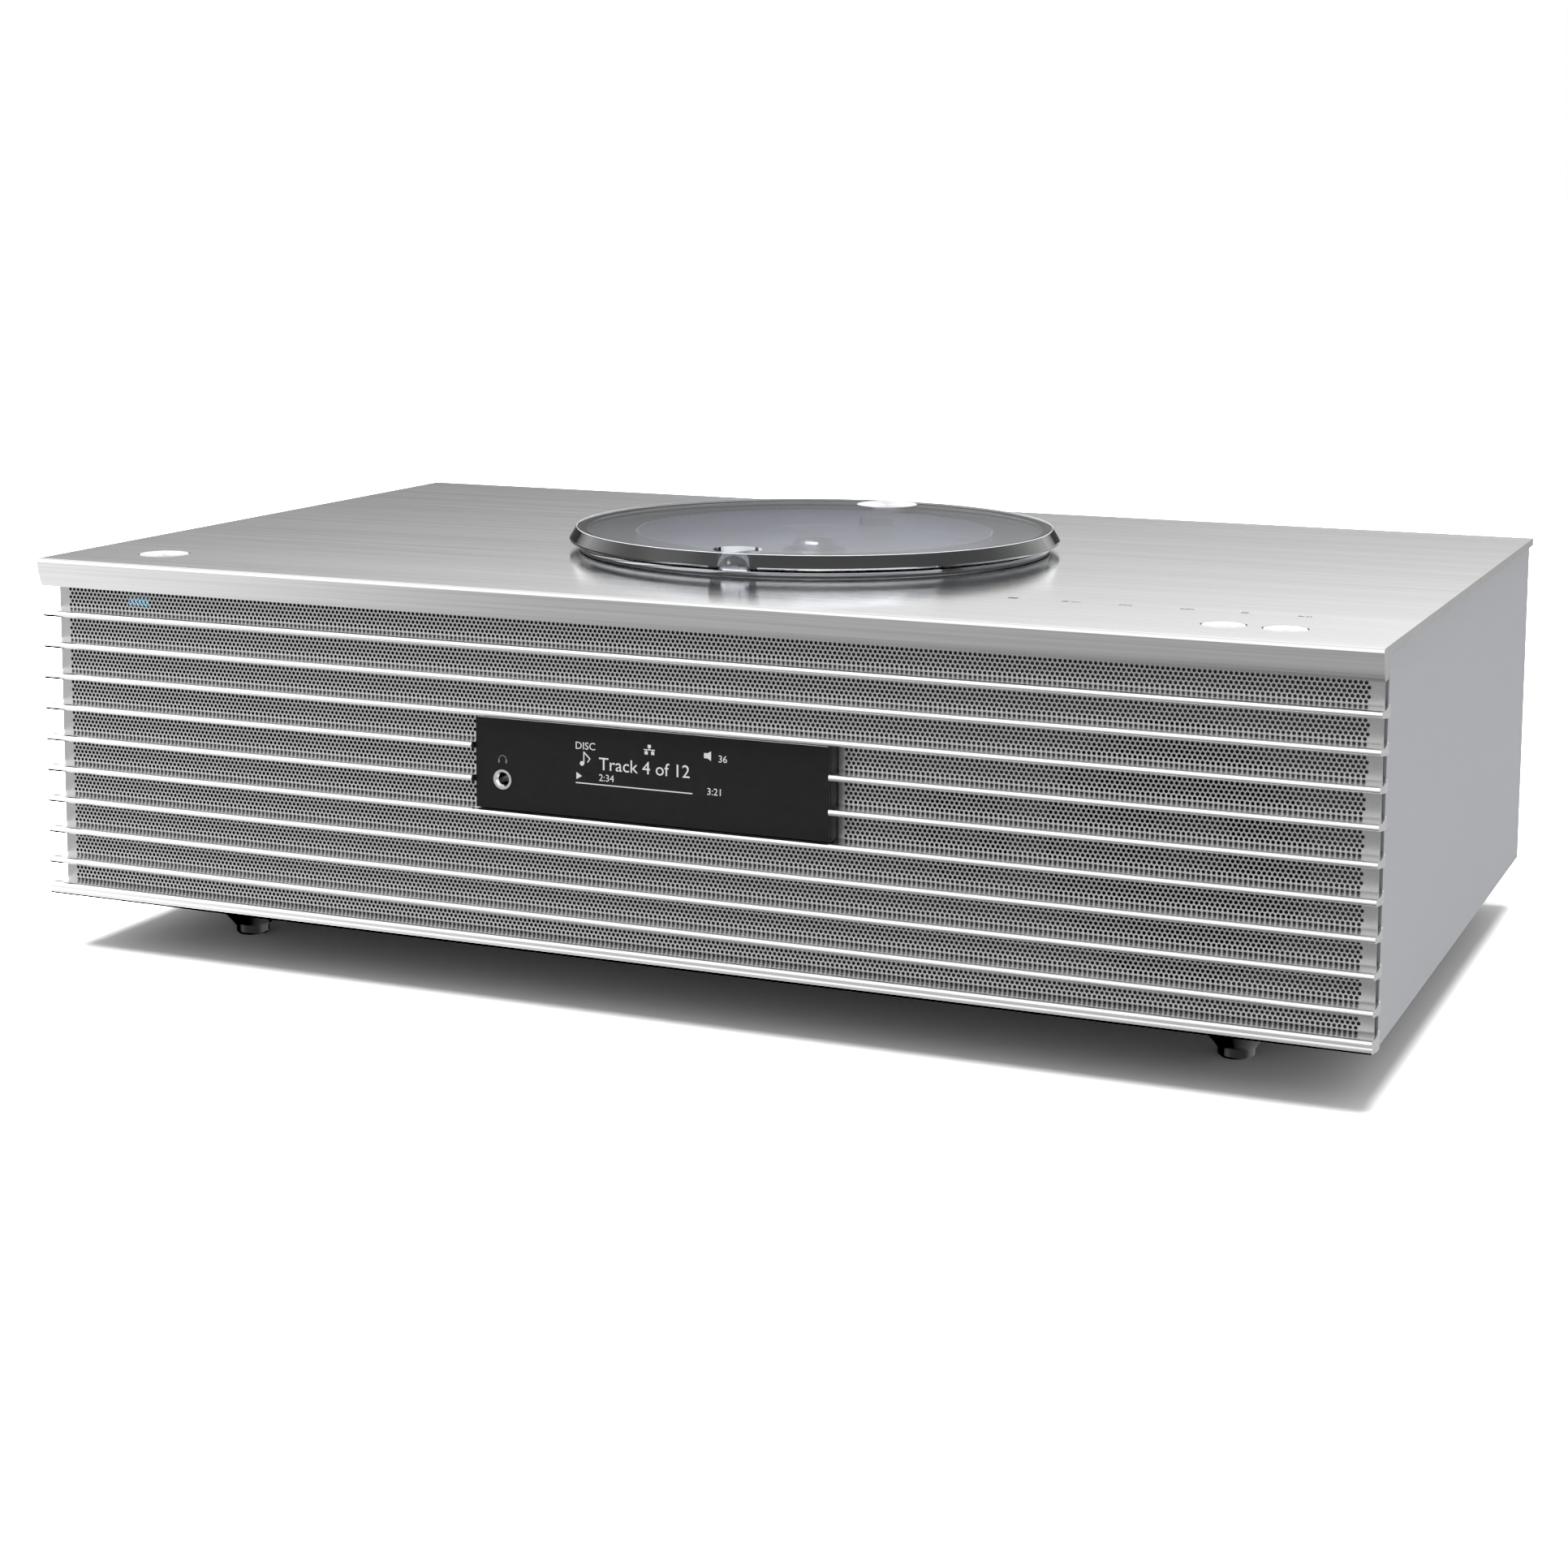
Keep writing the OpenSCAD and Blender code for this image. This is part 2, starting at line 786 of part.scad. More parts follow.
// Carriage with a bush on each rod, the lens in its holder, and the toothed rack on its right
module pickup_sled() {
    lens_z = well_floor - well_floor_t - 0.4;
    rack_root_x = rack_x - 1.1 * rack_module;
    rack_front = -22;
    rack_rear = 22.5;
    tooth_pitch = PI * rack_module;
    half = tooth_pitch / 4 - tooth_play / 2;
    tip_half = half - 0.85 * rack_module * tan(20);
    root_half = half + 1.1 * rack_module * tan(20);
    color("#34353a")
        translate([disc_x, disc_y - sled_near, 0])
            difference() {
                union() {
                    block([-rod_x + 1, -sled_half, rack_z + 1], [rod_x - 1, sled_half, lens_z - 3.5]);
                    block([-7, -7, lens_z - 4], [7, 7, lens_z]);
                    translate([0, 0, lens_z - 0.1])
                        cylinder(r = lens_r, h = 1.2);
                    for (x = [-rod_x, rod_x])
                        rod_y(x, rod_z, bush_r, -sled_half, sled_half);
                    block([rod_x - 5, -sled_half, rack_z], [rack_root_x - 1, sled_half, rack_z + rack_t]);
                    block([rack_root_x - 2, rack_front, rack_z], [rack_root_x, rack_rear, rack_z + rack_t]);
                    for (k = [-2 : 14])
                        translate([0, gear_y + sled_near + (k + 0.5) * tooth_pitch, rack_z])
                            linear_extrude(rack_t)
                                polygon([
                                    [rack_root_x - 0.1, -root_half],
                                    [rack_x + 0.85 * rack_module, -tip_half],
                                    [rack_x + 0.85 * rack_module, tip_half],
                                    [rack_root_x - 0.1, root_half]
                                ]);
                }
                for (x = [-rod_x, rod_x])
                    rod_y(x, rod_z, rod_r + rod_clear, -sled_half - 1, sled_half + 1);
            }
}

// Large wheel below and rack pinion above, in one moulding that turns on the chassis pin
module sled_gear() {
    color("#e6e2d6")
        translate([disc_x + gear_x, disc_y + gear_y, 0])
            difference() {
                union() {
                    translate([0, 0, wheel_z])
                        linear_extrude(wheel_t)
                            rotate(90 + 180 / wheel_teeth)
                                gear_outline(wheel_module, wheel_teeth);
                    translate([0, 0, wheel_z + wheel_t])
                        cylinder(r = pinion_r - 1.3 * rack_module, h = rack_z - wheel_z - wheel_t);
                    translate([0, 0, rack_z])
                        linear_extrude(rack_t)
                            rotate(180)
                                gear_outline(rack_module, pinion_teeth);
                }
                translate([0, 0, wheel_z - 1])
                    cylinder(r = 1.5 + rod_clear, h = 10);
            }
}

module sled_pinion() {
    shaft_r = 0.8;
    color("#c9a25a")
        translate([disc_x + gear_x, disc_y + motor_gear_y, 0]) {
            translate([0, 0, wheel_z])
                linear_extrude(wheel_t)
                    rotate(90)
                        gear_outline(wheel_module, motor_teeth);
            translate([0, 0, chassis_z - 10])
                cylinder(r = shaft_r, h = wheel_z - chassis_z + 10.1);
        }
}

module sled_motor() {
    color("#8d8f93")
        translate([disc_x + gear_x, disc_y + motor_gear_y, 0])
            difference() {
                union() {
                    translate([0, 0, chassis_z - 13])
                        cylinder(r = 8, h = 12.95);
                    translate([0, 0, chassis_z - 0.1])
                        cylinder(r = 3, h = chassis_t);
                }
                translate([0, 0, chassis_z - 11])
                    cylinder(r = 0.8 + rod_clear, h = 20);
            }
}

// ---- Speakers ----

// Profile of a driver that faces -Y: flange, surround, cone, basket and magnet, as radius and depth
module driver_profile(r, depth, magnet_r) {
    flange_t = r * 0.07;
    polygon([
        [0, depth * 0.3],
        [r * 0.28, depth * 0.3],
        [r * 0.3, depth * 0.42],
        [r * 0.7, 0.5],
        [r * 0.78, -flange_t * 0.5],
        [r * 0.86, 0],
        [r, 0],
        [r, flange_t],
        [r * 0.88, flange_t],
        [magnet_r + 1, depth * 0.6],
        [magnet_r, depth * 0.62],
        [magnet_r, depth - 1],
        [magnet_r - 1, depth],
        [0, depth]
    ]);
}

module woofer(side) {
    color("#2b2c2f")
        turned_y(side * woofer_x, baffle_back + 0.05, speaker_z)
            driver_profile(woofer_r, 42, 28);
}

module left_woofer() {
    woofer(-1);
}

module right_woofer() {
    woofer(1);
}

// Flange, short horn with its lens disc on three struts, and magnet
module tweeter(side) {
    dome_r = 10;
    color("#3a3b3f") {
        turned_y(side * tweeter_x, baffle_back + 0.05, speaker_z)
            polygon([
                [0, -1],
                [dome_r * 0.6, 0],
                [dome_r, 2],
                [dome_r + 3.5, -3],
                [tweeter_r - 5.2, -3],
                [tweeter_r - 5.2, 0],
                [tweeter_r, 0],
                [tweeter_r, 3],
                [14, 3],
                [14, 16],
                [0, 16]
            ]);
        for (angle = [90, 210, 330])
            translate([side * tweeter_x, baffle_back - 3.2, speaker_z])
                rotate([0, angle, 0])
                    block([3, -1, -0.8], [dome_r + 3, 1, 0.8]);
        rod_y(side * tweeter_x, speaker_z, 5, baffle_back - 4.2, baffle_back - 2.2);
    }
}

module tweeters() {
    for (side = [-1, 1])
        tweeter(side);
}

// Five-sided box that closes onto the back of the baffle
module speaker_chamber(side) {
    low_x = side > 0 ? chamber_near : -chamber_far;
    high_x = side > 0 ? chamber_far : -chamber_near;
    color("#26272a")
        difference() {
            block(
                [low_x, baffle_back + 0.05, chamber_bottom],
                [high_x, chamber_rear, chamber_top]
            );
            block(
                [low_x + chamber_t, baffle_back - 1, chamber_bottom + chamber_t],
                [high_x - chamber_t, chamber_rear - chamber_t, chamber_top - chamber_t]
            );
        }
}

module left_speaker_chamber() {
    speaker_chamber(-1);
}

module right_speaker_chamber() {
    speaker_chamber(1);
}

module subwoofer() {
    color("#2b2c2f")
        translate([0, subwoofer_y, floor_z + 2.4])
            rotate_extrude()
                driver_profile(subwoofer_r, 56, 40);
}

// Tube with a flared mouth outside the rear panel
module bass_port() {
    outer_r = port_r + port_t;
    seat = port_length + 0.05;
    color(black)
        turned_y(0, panel_rear_y - port_length, port_z)
            polygon([
                [port_r, 0],
                [outer_r, 0],
                [outer_r, seat],
                [outer_r + 4, seat],
                [outer_r + 4, seat + 0.95],
                [outer_r + 3, seat + 1.45],
                [outer_r + 1, seat + 1.15],
                [port_r, port_length - 3]
            ]);
}

// ---- Electronics ----

// Board with its processor, memory, radio module and four capacitors; chips give corner and size
module main_board() {
    chips = [
        [[84, 20], [16, 16, 2]],
        [[112, -10], [20, 20, 2]],
        [[84, -44], [20, 14, 8]]
    ];
    color(board_green)
        block([board_near, board_front, board_z], [board_far, board_rear, board_top]);
    color("#222326")
        for (chip = chips)
            translate([chip[0][0], chip[0][1], board_top])
                cube(chip[1]);
    color("#39404f")
        for (x = [118, 134], y = [50, 70])
            capacitor(x, y, 6, 22);
}

module capacitor(x, y, r, h) {
    translate([x, y, board_top]) {
        cylinder(r = r, h = h - r * 0.15);
        cylinder(r = r * 0.9, h = h);
    }
}

// Extruded heat sink with upright fins on a thick base
module heat_sink() {
    low = [148, -50, board_top];
    length = 60;
    base_t = 5;
    blades = 9;
    blade_t = 2;
    blade_h = 30;
    step = 6;
    color("#5c5e63") {
        block(low, low + [(blades - 1) * step + blade_t, length, base_t]);
        for (i = [0 : blades - 1])
            translate(low + [i * step, 0, base_t - 0.1])
                cube([blade_t, length, blade_h]);
    }
}

// Board with the transformer, its core and the smoothing capacitors
module power_supply() {
    color(board_green)
        block([-board_far, board_front, board_z], [-board_near, board_rear, board_top]);
    coil = [40, 40, 30];
    core = [52, 20, 38];
    middle = [-130, -20, board_top];
    color("#caa14d")
        translate(middle - [coil[0] / 2, coil[1] / 2, 0])
            cube(coil);
    color("#3b3c40")
        translate(middle - [core[0] / 2, core[1] / 2, 0])
            cube(core);
    color("#39404f")
        for (x = [-190, -170], y = [20, 48])
            capacitor(x, y, 9, 34);
}

// Two-pole inlet: flange, housing, rounded recess and two pins
module mains_inlet() {
    y1 = panel_rear_y + 1.4;
    recess_depth = 14;
    recess_r = 4.7;
    half_gap = 4.3;
    recess_half = 3.4;
    color(black) {
        difference() {
            union() {
                block([inlet_x - 15, panel_rear_y + 0.02, inlet_z - 12], [inlet_x + 15, y1, inlet_z + 12]);
                block(
                    [inlet_x - 13, panel_rear_y - 20, inlet_z - 10],
                    [inlet_x + 13, y1 - 0.1, inlet_z + 10]
                );
            }
            for (x = [-recess_half, recess_half])
                rod_y(inlet_x + x, inlet_z, recess_r, y1 - recess_depth, y1 + 1);
            block(
                [inlet_x - recess_half, y1 - recess_depth, inlet_z - recess_r],
                [inlet_x + recess_half, y1 + 1, inlet_z + recess_r]
            );
        }
        for (x = [-half_gap, half_gap])
            rod_y(inlet_x + x, inlet_z, 1.2, y1 - recess_depth - 1, y1 - 2);
    }
}

// Eight-contact network socket with its latch notch
module network_socket() {
    y1 = panel_rear_y + 0.6;
    color("#8a8c90")
        difference() {
            block([network_x - 8, y1 - 18, board_top + 0.02], [network_x + 8, y1, board_top + 14]);
            block([network_x - 5.9, y1 - 13, network_z - 3.3], [network_x + 5.9, y1 + 1, network_z + 3.3]);
            block([network_x - 3, y1 - 9, network_z - 6.2], [network_x + 3, y1 + 1, network_z - 3.2]);
        }
}

// USB, optical and 3.5 mm line sockets, side by side on the main board
module input_sockets() {
    y1 = panel_rear_y + 0.6;
    usb_z = board_top + 3.6;
    optical_z = board_top + 5.1;
    color("#9a9ca0") {
        difference() {
            block([usb_x - 7, y1 - 17, board_top + 0.02], [usb_x + 7, y1, board_top + 7]);
            block([usb_x - 6.2, y1 - 12, usb_z - 2.5], [usb_x + 6.2, y1 + 1, usb_z + 2.5]);
        }
        block([usb_x - 5.5, y1 - 12.1, usb_z + 0.1], [usb_x + 5.5, y1 - 1, usb_z + 1.9]);
    }
    color(black)
        difference() {
            block([optical_x - 5, y1 - 14, board_top + 0.02], [optical_x + 5, y1, board_top + 10]);
            block([optical_x - 3.8, y1 - 2, optical_z - 3.8], [optical_x + 3.8, y1 + 1, optical_z + 3.8]);
        }
    color(black)
        difference() {
            union() {
                rod_y(line_in_x, line_in_z, 4, y1 - 6, y1);
                block([line_in_x - 6, y1 - 18, board_top + 0.02], [line_in_x + 6, y1 - 3, board_top + 13]);
            }
            rod_y(line_in_x, line_in_z, jack_bore_r, y1 - jack_depth, y1 + 1);
        }
}

// Threaded coaxial barrel with its nut, insulator and centre contact hole
module antenna_connector() {
    tip_y = rear_y + connector_out;
    thread_y = panel_rear_y + 3;
    nut_y = panel_rear_y - panel_t - 3.1;
    color("#c2b280") {
        difference() {
            union() {
                rod_y(antenna_x, antenna_z, antenna_r, thread_y, tip_y);
                rod_y(antenna_x, antenna_z, antenna_r - 0.5, panel_rear_y - 10, thread_y + 0.1);
                rod_y(antenna_x, antenna_z, 7, nut_y, nut_y + 2);
                translate([antenna_x, panel_rear_y + 0.05, antenna_z])
                    rotate([-90, 0, 0])
                        cylinder(r = 7.4, h = 2.2, $fn = 6);
            }
            rod_y(antenna_x, antenna_z, 3.7, tip_y - 8, tip_y + 1);
        }
    }
    color("#ececec")
        difference() {
            rod_y(antenna_x, antenna_z, 3.71, tip_y - 8.1, tip_y - 0.4);
            rod_y(antenna_x, antenna_z, 0.6, tip_y - 7, tip_y);
        }
}

// ---- Feet ----

// Turned cone that stands on a small rubber tip
module foot(x, y) {
    color(black)
        translate([x, y, 0])
            rotate_extrude()
                polygon([
                    [0, 0],
                    [4.9, 0],
                    [5.5, 0.6],
                    [5.6, 3.4],
                    [6.3, 3.4],
                    [6.6, 4],
                    [15.6, foot_h - 4],
                    [17, foot_h - 3],
                    [17, foot_h - 0.02],
                    [0, foot_h - 0.02]
                ]);
}

module front_left_foot() {
    foot(-foot_x, foot_front_y);
}

module front_right_foot() {
    foot(foot_x, foot_front_y);
}

module rear_left_foot() {
    foot(-foot_x, foot_rear_y);
}

module rear_right_foot() {
    foot(foot_x, foot_rear_y);
}

top_plate();
left_side_panel();
right_side_panel();
bottom_panel();
rear_panel();
front_baffle();
front_grille();
fin(0);  // fin_1
fin(1);  // fin_2
fin(2);  // fin_3
fin(3);  // fin_4
fin(4);  // fin_5
fin(5);  // fin_6
fin(6);  // fin_7
fin(7);  // fin_8
fin(8);  // fin_9
fin(9);  // fin_10
display_housing();
display_glass();
headphone_jack();
status_led();
power_button();
volume_down_button();
volume_up_button();
touch_sensor_board();
volume_switch_board();
power_switch_board();
lid();
lid_base_ring();
lid_pivot_cap();
lid_pivot_post();
disc_well();
spindle_hub();
spindle_motor();
mechanism_chassis();
damper_bushes();
guide_rods();
pickup_sled();
sled_gear();
sled_pinion();
sled_motor();
left_woofer();
right_woofer();
tweeters();
left_speaker_chamber();
right_speaker_chamber();
subwoofer();
bass_port();
main_board();
heat_sink();
power_supply();
mains_inlet();
network_socket();
input_sockets();
antenna_connector();
socket_plate();
front_left_foot();
front_right_foot();
rear_left_foot();
rear_right_foot();
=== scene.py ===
import math

import bmesh
import bpy
from mathutils import Matrix, Vector


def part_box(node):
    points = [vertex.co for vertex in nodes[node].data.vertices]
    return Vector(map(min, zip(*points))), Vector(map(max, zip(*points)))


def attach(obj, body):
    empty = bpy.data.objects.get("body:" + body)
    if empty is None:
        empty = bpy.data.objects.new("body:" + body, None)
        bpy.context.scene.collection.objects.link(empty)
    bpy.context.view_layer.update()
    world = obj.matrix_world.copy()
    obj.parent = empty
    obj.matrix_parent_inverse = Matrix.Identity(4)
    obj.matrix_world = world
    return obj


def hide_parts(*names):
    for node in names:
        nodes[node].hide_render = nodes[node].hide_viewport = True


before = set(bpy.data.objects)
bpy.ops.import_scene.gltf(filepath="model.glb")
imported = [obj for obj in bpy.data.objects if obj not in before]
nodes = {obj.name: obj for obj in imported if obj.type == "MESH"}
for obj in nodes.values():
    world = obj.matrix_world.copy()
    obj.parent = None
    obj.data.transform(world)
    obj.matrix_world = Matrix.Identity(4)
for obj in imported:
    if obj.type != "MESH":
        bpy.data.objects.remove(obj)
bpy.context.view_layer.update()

MM = 0.001


# ---- Camera ----
# A long lens stands to the right of the front, a little above the plate, and looks down at it.
# The lens is shifted down so that the case keeps its upright edges.
eye = Vector((0.374234, -0.920066, 0.261667))
yaw, pitch, roll = (math.radians(angle) for angle in (-23.6312, 7.4696, 0.1761))
ahead = Vector((math.sin(yaw) * math.cos(pitch), math.cos(yaw) * math.cos(pitch), -math.sin(pitch)))
level = Vector((math.cos(yaw), -math.sin(yaw), 0))
above = level.cross(ahead)
to_right = level * math.cos(roll) + above * math.sin(roll)
upwards = above * math.cos(roll) - level * math.sin(roll)
lens = bpy.data.cameras.new("camera")
lens.sensor_width = 36
lens.lens = 65.918
lens.shift_x, lens.shift_y = 0.02752, -0.14536
camera = bpy.data.objects.new("camera", lens)
camera.matrix_world = Matrix.Translation(eye) @ Matrix((to_right, upwards, -ahead)).transposed().to_4x4()
bpy.context.scene.collection.objects.link(camera)
bpy.context.scene.camera = camera


# ---- Node wires ----
# A wire is one output socket of a material's nodes. Sums and products of wires add Math nodes,
# and every other node comes from its node method.
class Wire:
    def __init__(self, tree, socket=None):
        self.tree = tree
        self.socket = socket

    def node(self, kind, settings=(), inputs=(), output=0):
        made = self.tree.nodes.new(kind)
        for name, value in dict(settings).items():
            setattr(made, name, value)
        for name, value in dict(inputs).items():
            if isinstance(value, Wire):
                self.tree.links.new(value.socket, made.inputs[name])
            else:
                made.inputs[name].default_value = value
        return Wire(self.tree, made.outputs[output])

    def math(self, operation, *values):
        """A Math node on this wire and the values, for operations that have no sign of their own."""
        return self.node("ShaderNodeMath", {"operation": operation}, dict(enumerate((self, *values))))

    def __add__(self, other):
        return self.math("ADD", other)

    def __sub__(self, other):
        return self.math("SUBTRACT", other)

    def __rsub__(self, other):
        return self.node("ShaderNodeMath", {"operation": "SUBTRACT"}, {0: other, 1: self})

    def __mul__(self, other):
        return self.math("MULTIPLY", other)

    __radd__ = __add__
    __rmul__ = __mul__

    def between(self, low, high):
        return self.node("ShaderNodeMapRange", {"interpolation_type": "SMOOTHSTEP"},
                         {"Value": self, "From Min": low, "From Max": high})

    def axis(self, name):
        return self.node("ShaderNodeSeparateXYZ", (), {"Vector": self}, name)

    def moved(self, centre=(0, 0, 0), scale=(1, 1, 1)):
        return self.node("ShaderNodeMapping", (), {
            "Vector": self, "Scale": scale, "Location": [-c * s for c, s in zip(centre, scale)]})

    def noise(self, scale, detail=2.0, roughness=0.5):
        return self.node("ShaderNodeTexNoise", (), {
            "Vector": self, "Scale": scale, "Detail": detail, "Roughness": roughness}, 0)

    def mix(self, first, second):
        return self.node("ShaderNodeMix", {"data_type": "RGBA"}, {0: self, 6: first, 7: second}, 2)

    def bump(self, strength, distance):
        return self.node("ShaderNodeBump", (), {
            "Height": self, "Strength": strength, "Distance": distance})


def finish(name, recipe, node_names=()):
    """A Principled material; recipe takes the object's coordinates and gives socket values."""
    material = bpy.data.materials.new(name)
    material.use_nodes = True
    tree = material.node_tree
    shader = tree.nodes["Principled BSDF"]
    place = Wire(tree).node("ShaderNodeTexCoord", output="Object")
    for socket, value in recipe(place).items():
        if isinstance(value, Wire):
            tree.links.new(value.socket, shader.inputs[socket])
        else:
            shader.inputs[socket].default_value = value
    for node_name in node_names:
        nodes[node_name].material_slots[0].material = material
    return material


def grey(value):
    return (value, value, value, 1)


# ---- Studio ----
# A matt white floor under one broad soft lamp. The surround is what the bare metal mirrors: a
# bright card at the front left, a white ceiling in front, and a soft ramp behind the case.
FLOOR_HALF = 30
floor_mesh = bpy.data.meshes.new("floor")
sheet = bmesh.new()
bmesh.ops.create_grid(sheet, x_segments=1, y_segments=1, size=FLOOR_HALF)
sheet.to_mesh(floor_mesh)
floor = bpy.data.objects.new("floor", floor_mesh)
floor.visible_glossy = False
bpy.context.scene.collection.objects.link(floor)
floor_mesh.materials.append(finish("studio_floor", lambda place: {
    "Base Color": grey(0.6), "Roughness": 1.0, "Specular IOR Level": 0.0}))


def sun(name, towards, strength, angle):
    light = bpy.data.lights.new(name, "SUN")
    light.energy = strength
    light.angle = math.radians(angle)
    lamp = bpy.data.objects.new(name, light)
    lamp.rotation_mode = "QUATERNION"
    lamp.rotation_quaternion = Vector(towards).to_track_quat("Z", "Y")
    lamp.visible_glossy = False
    bpy.context.scene.collection.objects.link(lamp)


sun("key_light", towards=(-0.1, -0.2, 1), strength=13.0, angle=40)

world = bpy.data.worlds.new("surround")
world.use_nodes = True
sky = Wire(world.node_tree)
direction = sky.node("ShaderNodeTexCoord", output="Generated")
to_x, to_y, to_z = (direction.axis(name) for name in "XYZ")
front_half = (0 - to_y).between(-0.2, 0.3)
to_left = (0 - to_x).math("MAXIMUM", 0)
left_card = (0 - to_x).between(0.45, 0.62)
far_left = (0 - to_x).between(0.72, 0.92)
above_floor = to_z.between(-1.0, -0.7)
ceiling = to_z.between(-0.12, 0.12)
card_level = 0.42 + 0.30 * to_left + 0.60 * left_card
front = card_level * (1 - 0.9 * far_left) * above_floor + ceiling
ramp_low, ramp_high = 0.1, 1.9
ramp = (0.85 * to_x + 15.0 * to_z - 1.18).math("MINIMUM", ramp_high).math("MAXIMUM", ramp_low)
below = (0 - to_z).between(0.02, 0.12) * (0.1 + 1.6 * to_x)
behind = ramp * (1 - 0.4 * to_z.between(0.3, 0.6)) + below
radiance = front_half * front + (1 - front_half) * behind
lit = sky.node("ShaderNodeBackground", (), {"Color": grey(1), "Strength": radiance})
seen = sky.node("ShaderNodeBackground", (), {"Color": grey(1), "Strength": 1.0})
camera_ray = sky.node("ShaderNodeLightPath", output="Is Camera Ray")
both = sky.node("ShaderNodeMixShader", (), {0: camera_ray, 1: lit, 2: seen})
world.node_tree.links.new(both.socket, world.node_tree.nodes["World Output"].inputs["Surface"])
bpy.context.scene.world = world
bpy.context.scene.view_settings.view_transform = "Standard"


# ---- Top plate and fins ----
# A thick aluminium plate, hairline brushed along its width and clear anodised. The fins are
# drawn extrusions of the same metal, polished brighter and fixed from behind the grille.
def brushed_along_x(place):
    streaks = place.moved(scale=(6, 1500, 1500)).noise(1, 3, 0.7)
    patches = place.moved(scale=(4, 60, 60)).noise(1, 2)
    return {
        "Base Color": (streaks * 0.7 + patches * 0.3).between(0.3, 0.7).mix(grey(0.60), grey(0.74)),
        "Metallic": 1.0,
        "Roughness": 0.10 + 0.08 * streaks,
        "Normal": streaks.bump(0.035, 0.0002),
    }


finish("brushed_aluminium", brushed_along_x, ["top_plate"])


def bright_drawn(place):
    lines = place.moved(scale=(3, 900, 900)).noise(1, 2)
    return {
        "Base Color": lines.between(0.3, 0.7).mix(grey(0.82), grey(0.90)),
        "Metallic": 1.0,
        "Roughness": 0.16 + 0.08 * lines,
    }


FIN_COUNT = 10
fins = [f"fin_{index}" for index in range(1, FIN_COUNT + 1)]
finish("bright_fin", bright_drawn, fins)


# ---- Side panels ----
# Folded steel sheets in a fine satin silver paint with small metal flakes. They are screwed to
# the base and the rear panel from inside, so no fixing shows.
def satin_paint(place):
    flakes = place.noise(2600, 1)
    return {
        "Base Color": flakes.mix((0.30, 0.31, 0.33, 1), (0.38, 0.39, 0.41, 1)),
        "Metallic": 0.75,
        "Roughness": 0.34 + 0.08 * flakes,
        "Normal": flakes.bump(0.12, 0.0001),
    }


finish("satin_panel", satin_paint, ["left_side_panel", "right_side_panel"])


# ---- Perforated grille ----
# One thin steel sheet punched with staggered round holes in a band between each pair of fins,
# silver coated, and held against the dark baffle. Its hole walls and back are coloured near black
# as painted shade inside the holes.
HOLE_SIDES = 8
hole_r = 0.58 * MM
hole_pitch = 1.53 * MM
row_pitch = 1.325 * MM
field_x = 220 * MM
margin_by_display = 1.8 * MM
first_row = 0.8 * MM

grille_low, grille_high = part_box("front_grille")
sheet_t = 0.8 * MM
display_low, display_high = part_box("display_housing")
fin_boxes = [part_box(name) for name in fins]


def grille_metal(place):
    grain = place.noise(1800, 2)
    # Painted shade: behind the front face the sheet turns near black and non-metallic, so the holes look
    # shaded.
    painted_hole_shade = place.axis("Y").between(grille_low.y + 0.04 * MM, grille_low.y + 0.12 * MM)
    return {
        "Base Color": painted_hole_shade.mix(grain.mix(grey(0.36), grey(0.46)), grey(0.015)),
        "Metallic": 1 - painted_hole_shade,
        "Roughness": 0.30 + 0.1 * grain + 0.3 * painted_hole_shade,
    }


grille_finish = finish("grille_sheet", grille_metal)


def in_a_row(shape, geometry, step, count):
    """geometry and its copies, count of them in all, one step apart along X."""
    if count == 1:
        return geometry
    half = count // 2
    made = in_a_row(shape, geometry, step, half)
    for source, shift in ((made, half), (geometry, count - 1))[:1 + count % 2]:
        copy = bmesh.ops.duplicate(shape, geom=source)["geom"]
        verts = [part for part in copy if isinstance(part, bmesh.types.BMVert)]
        bmesh.ops.translate(shape, verts=verts, vec=(shift * step, 0, 0))
        made = made + copy
    return made


def punched_row(shape, low_x, count, centre_z):
    hole = bmesh.ops.create_circle(shape, segments=HOLE_SIDES, radius=hole_r)["verts"]
    rim = bmesh.ops.create_circle(shape, segments=HOLE_SIDES, radius=1)["verts"]
    for corner in rim:
        corner.co.x = round(corner.co.x) * hole_pitch / 2
        corner.co.y = round(corner.co.y) * row_pitch / 2
    edges = list({edge for corner in hole + rim for edge in corner.link_edges})
    ring = bmesh.ops.bridge_loops(shape, edges=edges)["faces"]
    bmesh.ops.translate(shape, verts=hole + rim, vec=(low_x + hole_pitch / 2, centre_z, 0))
    in_a_row(shape, hole + rim + edges + ring, hole_pitch, count)


